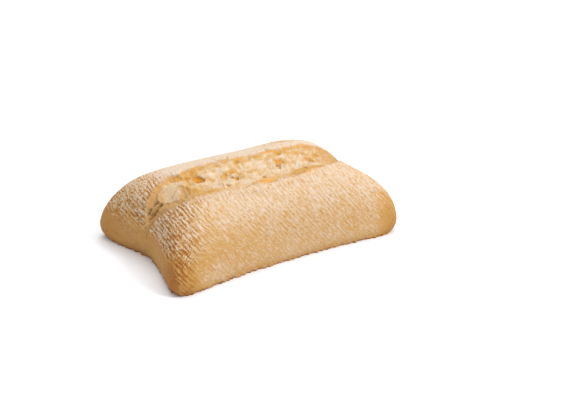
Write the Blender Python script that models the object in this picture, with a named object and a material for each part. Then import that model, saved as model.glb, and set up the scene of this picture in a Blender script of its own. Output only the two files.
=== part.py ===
"""A ciabatta: a flat, pillow-shaped roll of white bread, slashed along its top and baked on a flat stone.

The roll is one solid. It lies along X on the plane z = 0, with its middle over the origin, and its split
opens along the top and runs down both ends. Lengths are in metres, +Z is up.

The form is a rounded box. Its four bottom corners are drawn out, both ends are pulled in at their middle,
and the slash has opened into a shallow bed of torn crumb between two raised lips of crust.
"""

import math

import bmesh
import bpy
import numpy as np
from mathutils import Vector, noise

# Driving dimensions of the roll
LENGTH = 0.1562  # along the middle of each lobe
WIDTH = 0.0874  # across the waist
HEIGHT = 0.0468
WIDEST_HEIGHT = 0.0127  # the height of the widest section

# Driving dimensions of its corners, ends and sides
CORNER_REACH_ALONG = 0.0060  # how far a bottom corner is drawn out along the roll
CORNER_REACH_ACROSS = 0.0096
CORNER_FADE_HEIGHT = 0.0269
RIGHT_CORNER_SHARE = 0.78  # the +X end is less drawn out than the -X end
CORNER_SHARPNESS = 3.4  # how suddenly a corner is drawn out
END_HOLLOW = 0.0098  # how far the middle of an end is pulled in
END_HOLLOW_ROUNDING = 0.36  # the radius at the hollow's bottom, as a share of half the width
END_HOLLOW_FADE = 4  # the hollow fades with this power of the place along the roll
RIGHT_STRETCH = 0.02  # the +X half is this share longer
HEIGHT_DROP = 0.045  # the +X end is this share lower than the middle
SWELL = 0.0009  # slow, uneven swelling of the whole crust
SWELL_SPACING = 0.034

# How round the form is: 2 is an ellipse, and more is squarer
PLAN_POWER = 6.4
PROFILE_POWER = 2.58
FOOT_TUCK = 0.44  # how far the sides turn under below the widest section

# The split. Its run goes from 0 at the middle of the roll to 1 at the end of the top and 2 halfway down the end
SPLIT_HALF_WIDTH = 0.0180
SPLIT_RUN_LEFT = 1.97
SPLIT_RUN_RIGHT = 1.80
SPLIT_FULLNESS = 2.6  # how long it stays wide
SPLIT_POINTEDNESS = 1.6  # how slender its tips are
TIP_HALF_WIDTH = 0.0010
SPLIT_OFFSET = -0.0075  # its middle lies towards the -Y side, and comes back towards the ends
SPLIT_RETURN_LEFT = 0.0082  # how far it has come back at its tip, in a straight line
SPLIT_RETURN_RIGHT = 0.0100  # how far it has come back at the end of the top, in a bend
SPLIT_DEPTH = 0.0034
SPLIT_WALL = 0.7  # 1 is a round trough, and less has a flatter floor and steeper walls
LIP_RISE = 0.0013
LIP_BREADTH = 0.0025
LIP_WANDER = 0.0014  # how far the torn lips stray from a smooth line
LIP_WANDER_SPACING = 0.011

# Where the split turns down an end it is a gorge, a deep V-shaped crease beside the -Y lobe
GORGE_DEPTH_LEFT = 0.0085
GORGE_DEPTH_RIGHT = 0.0050
GORGE_RUN = 1.25  # it is a full gorge from here on
GORGE_SPREAD = 0.42
GORGE_LEAN = 0.7  # 0 is a symmetrical V, and more leans its bottom towards the -Y side
GORGE_BLUNTNESS = 1.2  # 1 is a V with straight sides

# Torn crumb inside the split
CRAG_HEIGHT = 0.0015
CRAG_SPACING = 0.0070
CRAG_FADE = 0.25  # the crags fade out over this share of the half width at the lips
# Its larger pores and hollows: place along X, place across the split (-1 and 1 are its lips), half the length
# along X, half the breadth, depth
PORES = (
    (-0.0600, 0.22, 0.0024, 0.0042, 0.0028),
    (-0.0475, 0.31, 0.0068, 0.0100, 0.0028),
    (-0.0325, 0.41, 0.0026, 0.0054, 0.0034),
    (-0.0241, -0.60, 0.0022, 0.0020, 0.0020),
    (-0.0157, 0.88, 0.0036, 0.0016, 0.0016),
    (-0.0145, 0.00, 0.0044, 0.0048, 0.0024),
    (-0.0050, 0.80, 0.0034, 0.0018, 0.0016),
    (0.0005, -0.49, 0.0026, 0.0020, 0.0020),
    (0.0163, 0.06, 0.0058, 0.0046, 0.0032),
    (0.0275, 0.55, 0.0030, 0.0034, 0.0016),
    (0.0310, -0.50, 0.0034, 0.0026, 0.0022),
    (0.0485, 0.21, 0.0040, 0.0042, 0.0026),
    (0.0610, -0.10, 0.0030, 0.0034, 0.0022),
)

# How finely the solid is divided
CELLS_ALONG = 60
CELLS_ACROSS = 40
CELLS_UP = 12
END_CROWDING = 0.3  # the share by which cells crowd towards the ends
SPLIT_CELLS_SHARE = 0.5  # the share of the cells across the roll that follows the split
NARROWEST_FOLLOWED = 0.0045  # the half width that those cells keep where the split is narrower or has ended

ROUGHENING = 0.8  # how little each finer octave of noise adds
DOUBLING = 2  # each octave is this many times finer
ON_FACE = 0.001  # a point of the box this near to a face lies on it
FAR_OFF = 9  # a place across the split that is well clear of it
FITTING_ROUNDS = 4  # enough to place a lip to 0.1 mm

CRUST_COLOUR = "D9AF78"


def clear_scene():
    for old in list(bpy.data.objects):
        bpy.data.objects.remove(old)


def make_collection(name):
    collection = bpy.data.collections.new(name)
    bpy.context.scene.collection.children.link(collection)
    return collection


def linear_colour(hex_colour):
    """The hex colour as linear red, green, blue and alpha."""
    shares = [int(hex_colour[i : i + 2], 16) / 255 for i in (0, 2, 4)]
    return [s / 12.92 if s <= 0.04045 else ((s + 0.055) / 1.055) ** 2.4 for s in shares] + [1]


def crust_material():
    material = bpy.data.materials.new("floured_crust")
    material.use_nodes = True
    shader = material.node_tree.nodes["Principled BSDF"]
    shader.inputs["Base Color"].default_value = linear_colour(CRUST_COLOUR)
    shader.inputs["Roughness"].default_value = 0.85
    shader.inputs["Metallic"].default_value = 0
    return material


def gridded_box():
    """A 2 x 2 x 2 box whose top, sides and ends are divided into cells, open at the bottom."""
    box = bmesh.new()
    bmesh.ops.create_cube(box, size=2)
    floor = [face for face in box.faces if face.normal.z < -0.5]
    bmesh.ops.delete(box, geom=floor, context="FACES_ONLY")
    for axis, cells in enumerate((CELLS_ALONG, CELLS_ACROSS, CELLS_UP)):
        along_axis = [
            edge for edge in box.edges
            if abs(edge.verts[0].co[axis] - edge.verts[1].co[axis]) > 1
        ]
        bmesh.ops.subdivide_edges(box, edges=along_axis, cuts=cells - 1, use_grid_fill=True)
    return box


def bell(distance, breadth):
    return np.exp(-((distance / breadth) ** 2))


def unevenness(points, spacing, octaves=1):
    """A smooth random value of about -1 to 1 at each point, the same on each run."""
    return np.array([noise.fractal(Vector(point) / spacing, ROUGHENING, DOUBLING, octaves) for point in points])


def roundness(along, across, up):
    """How far out each point of the box lies, where 1 is on the rounded form."""
    plan = (np.abs(along) ** PLAN_POWER + np.abs(across) ** PLAN_POWER) ** (1 / PLAN_POWER)
    return (plan**PROFILE_POWER + np.abs(up) ** PROFILE_POWER) ** (1 / PROFILE_POWER)


def tucked(up):
    return np.where(up < 0, up * FOOT_TUCK, up)


def body_form(box):
    """Moves points of the 2 x 2 x 2 box, one a row, onto the roll as it is without its split."""
    along, across, up = box.T
    out = roundness(along, across, tucked(up))
    u, v, w = along / out, across / out, tucked(up) / out
    rim = FOOT_TUCK / roundness(along, across, FOOT_TUCK)
    above = WIDEST_HEIGHT + (HEIGHT - WIDEST_HEIGHT) * w
    below = WIDEST_HEIGHT * (1 + w / rim)
    z = np.where(w >= 0, above, below) * (1 - HEIGHT_DROP * u)

    end_share = np.where(u > 0, RIGHT_CORNER_SHARE, 1)
    cornerwise = np.abs(u * v) / 0.5 ** (2 / PLAN_POWER)
    low_corner = end_share * cornerwise**CORNER_SHARPNESS * bell(z, CORNER_FADE_HEIGHT)
    slant = np.sqrt(v**2 + END_HOLLOW_ROUNDING**2) - END_HOLLOW_ROUNDING
    hollow = 1 - slant / (math.hypot(1, END_HOLLOW_ROUNDING) - END_HOLLOW_ROUNDING)
    outward = CORNER_REACH_ALONG * low_corner - end_share * END_HOLLOW * hollow * u**END_HOLLOW_FADE
    x = LENGTH / 2 * u * np.where(u > 0, 1 + RIGHT_STRETCH, 1) + np.sign(u) * outward
    y = WIDTH / 2 * v + np.sign(v) * CORNER_REACH_ACROSS * low_corner
    return np.stack([x, y, z], 1)


def split_course(box):
    """The split's run at each point of the box, with its middle's y, its half width and how open it is there."""
    along, _, up = box.T
    on_end = np.abs(along) > 1 - ON_FACE
    run = np.abs(along) + np.where(on_end, 1 - up, 0)
    left = along < 0
    length = np.where(left, SPLIT_RUN_LEFT, SPLIT_RUN_RIGHT)
    open_share = np.clip(1 - (run / length) ** SPLIT_FULLNESS, 0, 1) ** SPLIT_POINTEDNESS
    half_width = np.maximum(SPLIT_HALF_WIDTH * open_share, TIP_HALF_WIDTH)
    straight = SPLIT_RETURN_LEFT * np.minimum(run / length, 1)
    bend = SPLIT_RETURN_RIGHT * np.minimum(run, 1) ** 2
    middle = SPLIT_OFFSET + np.where(left, straight, bend)
    return run, middle, half_width, open_share


def box_across(along, up, y):
    """The place across the box that body_form takes to y."""
    across = y / (WIDTH / 2)
    for _ in range(FITTING_ROUNDS):
        across = y / (WIDTH / 2) * roundness(along, across, tucked(up))
    return across


def follow_split(box):
    """Moves the box's points so that rows of them run along both lips of the split, closest at its ends."""
    along, place, up = box.T
    along = along * (1 + END_CROWDING * (1 - np.abs(along)))
    box = np.stack([along, place, up], 1)
    _, middle, half_width, _ = split_course(box)
    half_width = np.maximum(half_width, NARROWEST_FOLLOWED)
    near_lip = box_across(along, up, middle - half_width)
    far_lip = box_across(along, up, middle + half_width)
    lip = np.where(place < 0, near_lip, far_lip)
    within = near_lip + (far_lip - near_lip) * (place / SPLIT_CELLS_SHARE + 1) / 2
    beyond = lip + (np.sign(place) - lip) * (np.abs(place) - SPLIT_CELLS_SHARE) / (1 - SPLIT_CELLS_SHARE)
    box[:, 1] = np.where(np.abs(place) < SPLIT_CELLS_SHARE, within, beyond)
    return box


def split_place(box, points):
    """Where each point is in the split.

    Gives its place across it (-1 and 1 at the lips), how far beyond the nearer lip it is in metres, the split's
    depth there, how much it is a gorge, and how open it is.
    """
    run, middle, half_width, open_share = split_course(box)
    gorge = bell(np.maximum(GORGE_RUN - run, 0), GORGE_SPREAD)
    wander = LIP_WANDER * (1 - gorge) * unevenness(points, LIP_WANDER_SPACING)
    on_side = np.abs(box[:, 1]) > 1 - ON_FACE
    across = np.where(on_side, FAR_OFF, (points[:, 1] + wander - middle) / half_width)
    beyond = (np.abs(across) - 1) * half_width
    deeper = np.where(box[:, 0] < 0, GORGE_DEPTH_LEFT, GORGE_DEPTH_RIGHT) * gorge
    return across, beyond, (SPLIT_DEPTH + deeper) * np.sqrt(open_share), gorge, open_share


def bed_depth(across, depth, gorge, open_share):
    """How far the torn bed lies under the crust: a shallow trough that turns into a V in a gorge."""
    share = (np.clip(across, -1, 1) + 1) / 2
    leaned = 2 * share ** (1 - GORGE_LEAN * gorge * np.sqrt(open_share)) - 1
    trough = (1 - leaned**2) ** SPLIT_WALL
    crease = 1 - np.abs(leaned) ** GORGE_BLUNTNESS
    return depth * (trough + (crease - trough) * gorge)


def pore_depth(points, across):
    """The depth of the larger pores at each point of the bed."""
    deepest = np.zeros(len(points))
    for place, place_across, half_length, half_breadth, depth in PORES:
        along = (points[:, 0] - place) / half_length
        sideways = (across - place_across) * SPLIT_HALF_WIDTH / half_breadth
        deepest = np.maximum(deepest, depth * np.sqrt(np.clip(1 - along**2 - sideways**2, 0, 1)))
    return deepest


def relief(box, points):
    """How far each point of the crust moves out along its normal."""
    across, beyond, depth, gorge, open_share = split_place(box, points)
    above_foot = np.clip(points[:, 2] / WIDEST_HEIGHT, 0, 1)
    swell = SWELL * above_foot * unevenness(points, SWELL_SPACING)
    crumb = np.clip((1 - np.abs(across)) / CRAG_FADE, 0, 1)
    crags = CRAG_HEIGHT * (1 - gorge) * unevenness(points, CRAG_SPACING, octaves=2)
    lip = LIP_RISE * open_share * bell(beyond - LIP_BREADTH, LIP_BREADTH)
    lip *= np.where(across < 0, 1 - gorge, 1)
    bed = bed_depth(across, depth, gorge, open_share)
    return swell + lip - bed + crumb * (crags - pore_depth(points, across))


def close_foot(roll):
    """Fills the roll's open bottom with one flat face."""
    rim = [edge for edge in roll.edges if edge.is_boundary]
    for vertex in {vertex for edge in rim for vertex in edge.verts}:
        vertex.co.z = 0
    bmesh.ops.contextual_create(roll, geom=rim)


def centre(roll):
    """Moves the roll so that the middle of its box is over the origin."""
    places = np.array([vertex.co for vertex in roll.verts])
    middle = (places.min(0) + places.max(0)) / 2
    bmesh.ops.translate(roll, verts=roll.verts, vec=(-middle[0], -middle[1], 0))


def ciabatta():
    roll = gridded_box()
    box = follow_split(np.array([vertex.co for vertex in roll.verts]))
    points = body_form(box)
    for vertex, point in zip(roll.verts, points):
        vertex.co = point
    roll.normal_update()
    for vertex, move in zip(roll.verts, relief(box, points)):
        vertex.co += vertex.normal * move
    close_foot(roll)
    centre(roll)
    bmesh.ops.recalc_face_normals(roll, faces=roll.faces)
    mesh = bpy.data.meshes.new("ciabatta")
    roll.to_mesh(mesh)
    roll.free()
    mesh.materials.append(crust_material())
    mesh.shade_smooth()
    mesh.set_sharp_from_angle(angle=math.radians(50))
    return bpy.data.objects.new("ciabatta", mesh)


clear_scene()
make_collection("ciabatta_roll").objects.link(ciabatta())
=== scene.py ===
"""The looks of a ciabatta: a floured, slashed roll of white bread on a plain pale floor.

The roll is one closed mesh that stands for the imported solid. It repeats the solid's form on finer cells, and adds
the fine wrinkles of the floured crust, the ragged lips of the slash and the open crumb between them.
"""

import math
from types import SimpleNamespace

import bmesh
import bpy
import numpy as np
from mathutils import Matrix, Vector, noise


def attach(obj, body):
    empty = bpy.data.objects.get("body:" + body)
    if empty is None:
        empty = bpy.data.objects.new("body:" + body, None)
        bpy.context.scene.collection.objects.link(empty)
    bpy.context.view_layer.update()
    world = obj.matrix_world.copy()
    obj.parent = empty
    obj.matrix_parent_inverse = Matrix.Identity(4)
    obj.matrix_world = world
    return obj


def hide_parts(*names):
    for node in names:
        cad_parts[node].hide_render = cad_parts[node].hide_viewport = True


# The warp of the crumb's cells differs on each run unless it is seeded
NOISE_SEED = 5

# Lengths are in metres, apart from some tables that are in millimetres
MM = 0.001

# The form of the roll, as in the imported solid. Left is -X, right is +X, near is -Y and far is +Y. A pair named for a
# place or a look is where its share goes from 0 to 1
LENGTH = 0.1562
WIDTH = 0.0874
HEIGHT = 0.0468
WIDEST_HEIGHT = 0.0127
CORNER_REACH_ALONG = 0.0060
CORNER_REACH_ACROSS = 0.0096
CORNER_FADE_HEIGHT = 0.0269
RIGHT_CORNER_SHARE = 0.78
CORNER_SHARPNESS = 3.4
END_HOLLOW = 0.0098
END_HOLLOW_ROUNDING = 0.36
END_HOLLOW_FADE = 4
RIGHT_STRETCH = 0.02
HEIGHT_DROP = 0.045
SWELL = 0.0009
SWELL_SPACING = 0.034
PLAN_POWER = 6.4
PROFILE_POWER = 2.58
FOOT_TUCK = 0.44

# Its split, from the middle of the roll (run 0) over the end of the top (run 1) down the ends
SPLIT_HALF_WIDTH = 0.0180
SPLIT_RUN_LEFT = 1.97
SPLIT_RUN_RIGHT = 1.80
SPLIT_FULLNESS = 2.6
SPLIT_POINTEDNESS = 1.6
TIP_HALF_WIDTH = 0.0010
SPLIT_OFFSET = -0.0075
SPLIT_RETURN_LEFT = 0.0082
SPLIT_RETURN_RIGHT = 0.0100
SPLIT_DEPTH = 0.0034
SPLIT_WALL = 0.7
LIP_RISE = 0.0013
LIP_BREADTH = 0.0025
LIP_WANDER = 0.0014
LIP_WANDER_SPACING = 0.011
GORGE_DEPTH_LEFT = 0.0085
GORGE_DEPTH_RIGHT = 0.0050
GORGE_RUN = 1.25
GORGE_SPREAD = 0.42
GORGE_LEAN = 0.7
GORGE_BLUNTNESS = 1.2
CRAG_HEIGHT = 0.0015
CRAG_SPACING = 0.0070
CRAG_FADE = 0.25
# Pores: place along X, place across from the split's middle, half the length, half the breadth, depth
PORES = MM * np.array((
    (-65.5, 2.4, 2.2, 0.9, 2),
    (-61.8, 3, 1.8, 0.8, 1.8),
    (-66, 4.6, 1.6, 0.8, 1.5),
    (-62, 5.2, 1.8, 0.9, 1.6),
    (-53.5, -0.5, 0.9, 0.6, 0.6),
    (-43.5, 15, 2, 0.6, 0.6),
    (-37.8, 11.8, 2.2, 0.9, 0.8),
    (-33, 7.6, 3.4, 5, 2.6),
    (-22.6, -8, 0.9, 2.4, 2),
    (-17.6, 5, 1, 1.9, 1.1),
    (-17, 15.2, 2, 0.8, 1),
    (-16.2, -1.2, 1, 1.6, 2.2),
    (-13.8, -2.8, 1.2, 2.2, 3),
    (-12.5, 5.2, 2, 1.2, 1.3),
    (-9.5, 4, 0.6, 4, 0.7),
    (-4.5, 13.8, 1.5, 1, 1.2),
    (1, -8.8, 1.2, 1.3, 1.9),
    (9.5, 3, 1.2, 1, 0.6),
    (12.8, 0, 0.8, 1, 0.9),
    (15.2, 12.2, 1.1, 0.7, 0.7),
    (16, -1.8, 0.9, 1.3, 2.1),
    (17.2, 1.2, 1.1, 1.5, 3.4),
    (19.5, 6.8, 3.4, 1.8, 0.7),
    (22.3, 5.6, 1.4, 2.4, 1.4),
    (24.7, 12.2, 1.8, 0.8, 1.1),
    (28.9, -10.8, 0.9, 1.4, 1.9),
    (41.5, 10.3, 2.1, 1.1, 1.2),
    (42.6, 0.5, 1.8, 2.7, 2),
    (50.1, 1.3, 1.8, 1.8, 1.4),
    (53, 6.3, 2.3, 1.3, 1.6),
))
PORE_RAGGEDNESS = 0.35  # how far a pore's edge strays, as a share of its size
PORE_RAGGED_SPACING = 0.0022
PORE_EDGE = (0, 0.0015)  # how far from the lip

# A torn sheet of crumb over the hollow at the left end. Its edge bows towards the right
FLAP_EDGE = -0.0428
FLAP_MIDDLE = 0.0030
FLAP_BOW = 57  # per metre
FLAP_HALF_BREADTH = 0.0085
FLAP_RISE = 0.0005
FLAP_RISE_LENGTH = 0.006
FLAP_HOLLOW = 0.0004
FLAP_HOLLOW_LENGTH = 0.008
FLAP_SIDES = (0, 0.5)  # shares of its half breadth, in from its sides
# How far ahead of its edge the hollow's floor turns into the sheet, and where the shade under it starts and ends
FLAP_STEP = (-0.0012, 0.0006)
FLAP_SHADE_START = (-0.0055, -0.0020)
FLAP_SHADE_END = (-0.0008, 0.0002)
FLAP_RIM = 0.0002
FLAP_RIM_BREADTH = 0.0008

# The film of crumb in that hollow: its middle along X and across from the split's middle, half sizes, and slant
VEIL = (-0.0500, 0.0072, 0.0090, 0.0048)
VEIL_SLANT = 0.42
VEIL_EDGE = (0.7, 1.2)
VEIL_RAGGEDNESS = 0.35
VEIL_SPACING = 0.0035
# Close under the torn sheet, the film's pale colour gives way to painted shade
VEIL_SHADE_SHARE = 0.45  # the share that it loses close under the torn sheet
VEIL_SHADE_SPAN = (-0.0060, -0.0015)

# Toasted flakes that stand up: both ends (along X and across from the split's middle), half the breadth, height
FLAKES = MM * np.array((
    (-14, -18.6, 5.6, -13, 2.8, 1.8),
    (-11, -15.5, -2, -12.8, 1, 1),
    (-9.5, 17, -6.8, 17.2, 0.7, 1),
    (17, 16, 22, 16.8, 0.7, 0.8),
    (-34.5, 14, -31.5, 15, 0.8, 0.5),
))
FLAKE_ENDS = (0, 0.25)  # shares of its length, in from its ends
FLAKE_BLUNTNESS = 0.7
FLAKE_PATCHES = (0.65, 1.5, 0.0014)  # how toasted it is: the middle, the strength and the spacing of its patches
FLAKE_GOLDEN_HEIGHT = 0.0010  # it is wholly golden at this height, and brown at the next
FLAKE_BROWN_HEIGHT = 0.0013
FLAKE_BROWNING = 0.55

# Skins of crumb that baked golden: place along X and across from the split's middle and half sizes in millimetres,
# and strength
GOLDEN_PATCHES = (
    (-37.5, -5.5, 6, 5.5, 0.38),
    (-34, 13.5, 7.5, 3, 0.32),
    (-32, 15.8, 1.4, 1.4, 0.60),
    (-37, 15, 1, 1.8, 0.40),
    (-37.8, 12.6, 2.2, 1, 0.50),
    (-41, -5, 1.6, 3, 0.30),
    (-33.5, -10.5, 4.5, 2, 0.50),
    (-27, 3, 1.4, 4, 0.35),
    (-12.5, 6.8, 3.5, 1.2, 0.35),
    (10, 4.5, 3.5, 2.5, -0.40),
    (-9.2, 2, 1.2, 5.5, 0.45),
    (-5.8, 11, 0.8, 4, 0.40),
    (0, 1.5, 3, 3, 0.40),
    (-6, -16.2, 9, 2.8, 0.60),
    (6, -12.5, 6, 3, 0.30),
    # This one is partly baked colour and partly painted shadow, where the other half of the loaf shaded the near lip's
    # right part
    (34, -14, 10, 4, 0.45),
    (19, 7.8, 5, 1.4, 0.20),
    (23.5, 7, 1.4, 2.4, 0.40),
    (25, 12.8, 3, 1, 0.50),
    (29, 8, 1.6, 6, 0.30),
    (42.6, 1, 2.2, 4, 0.45),
    (41.5, 10, 4.5, 1.8, 0.35),
    (54, 6.6, 4.5, 2.8, 0.45),
)

# Pale torn edges and strands that stand up in the crumb, written as the flakes are
TORN_EDGES = MM * np.array((
    (-61.2, 4.5, -56.8, 9.6, 0.9, 1.4),
    (-58, 8.6, -50, 12.2, 0.8, 1),
    (-54.5, 2, -45, 7.2, 0.9, 1),
    (-60, 2.2, -50, 0, 0.8, 0.9),
    (-66.5, 3.4, -61.5, 4.2, 0.4, 0.7),
    (-38.5, 9.5, -35, 11, 0.6, 0.6),
    (-53.5, 10.5, -45.5, 12.8, 0.7, 0.9),
    (-19.5, 3.5, -13, -2, 0.6, 0.8),
    (-15.5, 3, -12.5, -0.5, 0.9, 0.9),
    (-18.5, -2, -16, -6, 0.6, 0.7),
    (-26.2, -12.5, -24, -5.5, 0.7, 0.7),
    (12, -2, 15.5, 4.5, 0.5, 0.8),
    (16.5, -4, 20.5, 3.5, 0.6, 0.9),
    (19.5, -5, 24.5, 3, 0.5, 0.7),
    (21, 3, 24, 5, 0.5, 0.8),
    (24, -8, 30, 1, 0.6, 0.6),
    (27, -9, 33.5, 1.5, 0.6, 0.6),
    (39.5, 4, 41, -4, 0.6, 0.6),
    (-15, -19.5, -12.5, -15.5, 0.7, 0.8),
    (4, -17.5, 7.5, -15, 0.9, 0.7),
    (-10.5, -19, -7, -14.5, 0.5, 0.8),
    (-5, -18, -1.5, -15, 0.5, 0.8),
    (9.8, -18, 12, -13, 0.6, 0.6),
))

# How finely it is divided here
CELLS_ALONG = 340
CELLS_ACROSS = 118
CELLS_UP = 58
END_CROWDING = 0.3
FOOT_SPREADING = 0.45  # by how much more the rows of the sides lie apart at the foot than halfway up
SPLIT_CELLS_SHARE = 0.6
NARROWEST_FOLLOWED = 0.0045
UNDERSIDE_RINGS = (0.98, 0.9, 0.65, 0.3)
FACE_ORDER = Vector((1, 0.1, 0.01))

# The wrinkles of the crust. They lie in slanted planes, as the dough was drawn out when it was laid down
WRINKLE_NORMAL = np.array((0.76, -0.13, 0.64))
WRINKLE_PERIOD = 0.0021
WRINKLE_SPACING = 0.00068
WRINKLE_WAVER = 2.6
WRINKLE_WAVER_SPACING = 0.0024
WRINKLE_STRETCH = 3.6  # a wrinkle is this many times longer than it is wide
WRINKLE_WARP = 0.0004
WRINKLE_WARP_SPACING = 0.007
WRINKLE_STEEPNESS = 1.7
RIDGE_STRETCH = 1.35  # the ridges are longer still
ROW_EVENNESS = 0.5
# On the far lobe they are a tangle instead: how wide and long its knots are, how much it shows, and where
KNOT_WIDTH = 0.9
KNOT_LENGTH = 0.5
TANGLE = 0.8
TANGLE_ACROSS = (0.012, 0.026)
TANGLE_RIGHT_EDGE = (-0.055, -0.040)
WRINKLE_HEIGHT = 0.00040
WRINKLE_CALM = 0.16  # the share of their height that is left on the right half
WRINKLE_RIGHT_EDGE = (-0.068, -0.046)  # where the strong ones end, at the next height and lean
WRINKLE_EDGE_HEIGHT = 0.034
WRINKLE_EDGE_LEAN = 0.5
WRINKLE_FOOT_SHARE = 0.4  # the share of their height that is left at the foot, below these heights
WRINKLE_FOOT = (0.002, 0.022)
WRINKLE_END_LOSS = 0.9

# The crisp edge where the roll stood on the baking stone
SKIRT_REACH = 0.0015
SKIRT_HEIGHT = 0.0009
SKIRT_SET_BACK = 0.38
SKIRT_TEETH = (0.25, 1.9, 0.0019, 1.3)  # the middle, strength and spacing of their length, and the longest

# The foot of the left end is drawn in below the split: how far, its middle from the split's, half breadth and height
NOTCH = (0.0018, 0.0055, 0.0105, 0.012)
NOTCH_END = (0.03, 0.06)  # how far to the left

# The far bank: how much fuller it is, and the bare streak that runs along its crest
BANK_SWELL = 0.0004
BANK_EDGE = (1, 2)  # in half widths of the split, from its middle
BANK_BULGE = 0.0007
BANK_PLACE = (0.030, 0.026)
BANK_SIZE = (0.018, 0.010)
BARE_PLACE = (0.034, 0.0255)
BARE_SIZE = (0.012, 0.0026)
BARE_RAGGEDNESS = 0.8
BARE_SPACING = 0.003

# The lips: the far one's own course, as place along X, breadth and how far it lies towards -Y there
FAR_LIP_SHIFTS = (
    (0.019, 0.020, 0.0030),
    (0.047, 0.0055, -0.0032),
    (-0.001, 0.008, 0.0012),
    (0.037, 0.005, 0.0012),
)
LIP_OCTAVES = 3
LIP_CRISP_HEIGHT = 0.0011
LIP_CRISP_SPACING = 0.0024
LIP_CRISP_BREADTH = 0.0010
# Their orange edge: how far inside the lip, how broad on each, and the middle, strength and spacing of its patches
LIP_COLOUR_INSET = 0.0004
NEAR_LIP_BREADTH = 0.0026
FAR_LIP_BREADTH = 0.0008
LIP_COLOUR_PATCHES = (0.55, 0.9, 0.004)
NEAR_LIP_START = (0.014, 0.028)
NEAR_LIP_LEFT_SHARE = 0.1  # the share of its colour to the left of there

# Where crust turns into torn crumb, by the distance beyond the lip and by how open the split is
CRUST_EDGE = (-0.0008, 0.0002)
SPLIT_TIP = (0.005, 0.06)
# Where the near lip's crust is so thin that it blends into the crumb: place along X, length, reach and raggedness
THIN_CRUST = -0.041
THIN_CRUST_LENGTH = 0.013
THIN_CRUST_REACH = 0.0030
THIN_CRUST_RAGGEDNESS = 0.8
THIN_CRUST_SPACING = 0.0025

# The torn crumb: its gas cells, as spacing, depth and the share of them that the tear opened
CRUMB_CELLS = ((0.0050, 0.0010, 0.68), (0.0027, 0.0007, 0.72), (0.0015, 0.0003, 0.75))
CRUMB_CALM = 0.22  # the share of their depth outside the clusters
# Clusters of open cells: place along X and across from the split's middle, half sizes
CLUSTERS = MM * np.array((
    (-43, 12, 6, 3.5),
    (-15, 2, 6, 6.5),
    (16, 4, 8.5, 6.5),
    (44, 6, 8, 6),
))
CRUMB_CRAGS = 0.6  # the share of the crags' height that the finer crumb keeps
CRUMB_STRETCH = 1.7  # the tear drew them out across the split
CELL_WARP = 0.45
CELL_WALL = 0.35
CELL_OPENING = 0.11
CELLS_LOST_IN_GORGE = 0.7
CELLS_LOST_IN_SKIN = 0.9
# The depth at which a cell's painted shade is full
CELL_FULL_SHADE_DEPTH = 0.0009

# The smooth golden skin of crumb below the near lip: how far across towards it, its place along X and its length
SKIN_ACROSS = (0.45, 0.70)
SKIN_PLACE = 0.029
SKIN_LENGTH = 0.021

# The facets that it tore into, each tilted its own way, with creases between them
FACET_SPACING = 0.0062
FACET_TILT = 0.00042
FACET_CREASE = 0.09
CREASE_DEPTH = 0.00018
FACETS_LOST_IN_GORGE = 0.8
FACET_EDGE = (0, 0.004)  # how far from the lip
FACET_CALM = 0.45  # the share of their height outside the clusters
FACETLESS_PORE_DEPTH = 0.0008

# Its strands. They cross the split, and lean to the right on their way to the far lip, more so further right
STRAND_SPACING = 0.0018
STRAND_HEIGHT = 0.00020
STRAND_STRETCH = 3.2
STRAND_LEAN = 0.45
STRAND_LEAN_GROWTH = 6  # per metre
STRAND_WARP = 0.0011
STRAND_WARP_SPACING = 0.0055
STRANDS_LOST_IN_VEIL = 0.7
LAYERED_GORGE = (0.2, 0.6)  # in a gorge they lie in layers along it instead

# The colours' own regions, by the normal's direction or by place
TOP_FACING = (0, 0.95)
BANK_FACING = (-0.2, 0.6)
FAR_SIDE = (0, 0.02)
LOBES_END = (-0.07, -0.035)
END_FACING = (0.5, 0.9)
END_TOP = (0.017, 0.025)
FOOT_TOP = (0.0005, 0.006)
CORNER_START = (0.056, 0.070)
PATCH_SPACING = 0.013
BROWN_FOOT_HEIGHT = 0.0008

# Flour: the weight of each region in the share of the crust that it hides, and then what it loses and gains
FLOUR_WEIGHTS = {
    "all": 0.35, "top": 0.20, "far_bank": 0.30, "lobes": -0.13, "lobes_top": -0.14, "lobes_far": -0.27, "low_lobe": 0.12
}
FLOUR_EXTRAS = {"far_end": 0.12, "near_lobe": -0.15, "corner": -0.38, "patches": 0.06, "bare": -0.5}
NEAR_LOBE = ((-0.046, 0.020), (0.026, 0.011))  # along X and up: its middle and its half sizes
LOW_LOBE = ((-0.049, 0.009), (0.014, 0.008))
END_FLOUR_LOSS = 0.8
FAR_END_FLOUR_LOSS = 0.18
FOOT_FLOUR_LOSS = 0.40
CORNER_BARENESS = 1.7
CORNER_BARENESS_POWER = 1.5

# How brown the bare crust is baked
BAKE_WEIGHTS = {"near_corner": 0.52, "far_corner": 0.22, "end": 0.28, "foot": 0.1, "crinkle": 0.12, "patches": 0.08}

# How golden the crumb is baked, with painted shade in the creases between its facets
TOAST_AND_SHADE_WEIGHTS = {
    "far_edge": 0.32, "left_far_edge": 0.02, "near_left": 0.20, "left_end": 0.25, "right_end": 0.15, "veil": -0.4,
    # The crease is painted shade in the creases between the crumb's facets
    "flap_rim": 0.5, "torn_edge": -1, "strands": -0.12, "facet": 0.09, "crease": 0.34, "layers": -0.35,
}
TOAST_LEFT_EDGE = (-0.035, -0.010)
TOAST_FAR_EDGE = (0.60, 1.0)
TOAST_NEAR = (0.002, 0.012)
TOAST_LEFT_END = (-0.055, -0.030)
TOAST_RIGHT_END = (0.030, 0.055)
TORN_EDGE_FULL_HEIGHT = 0.0012
LAYERED_FAR_EDGE = (0.3, 0.7)

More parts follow.
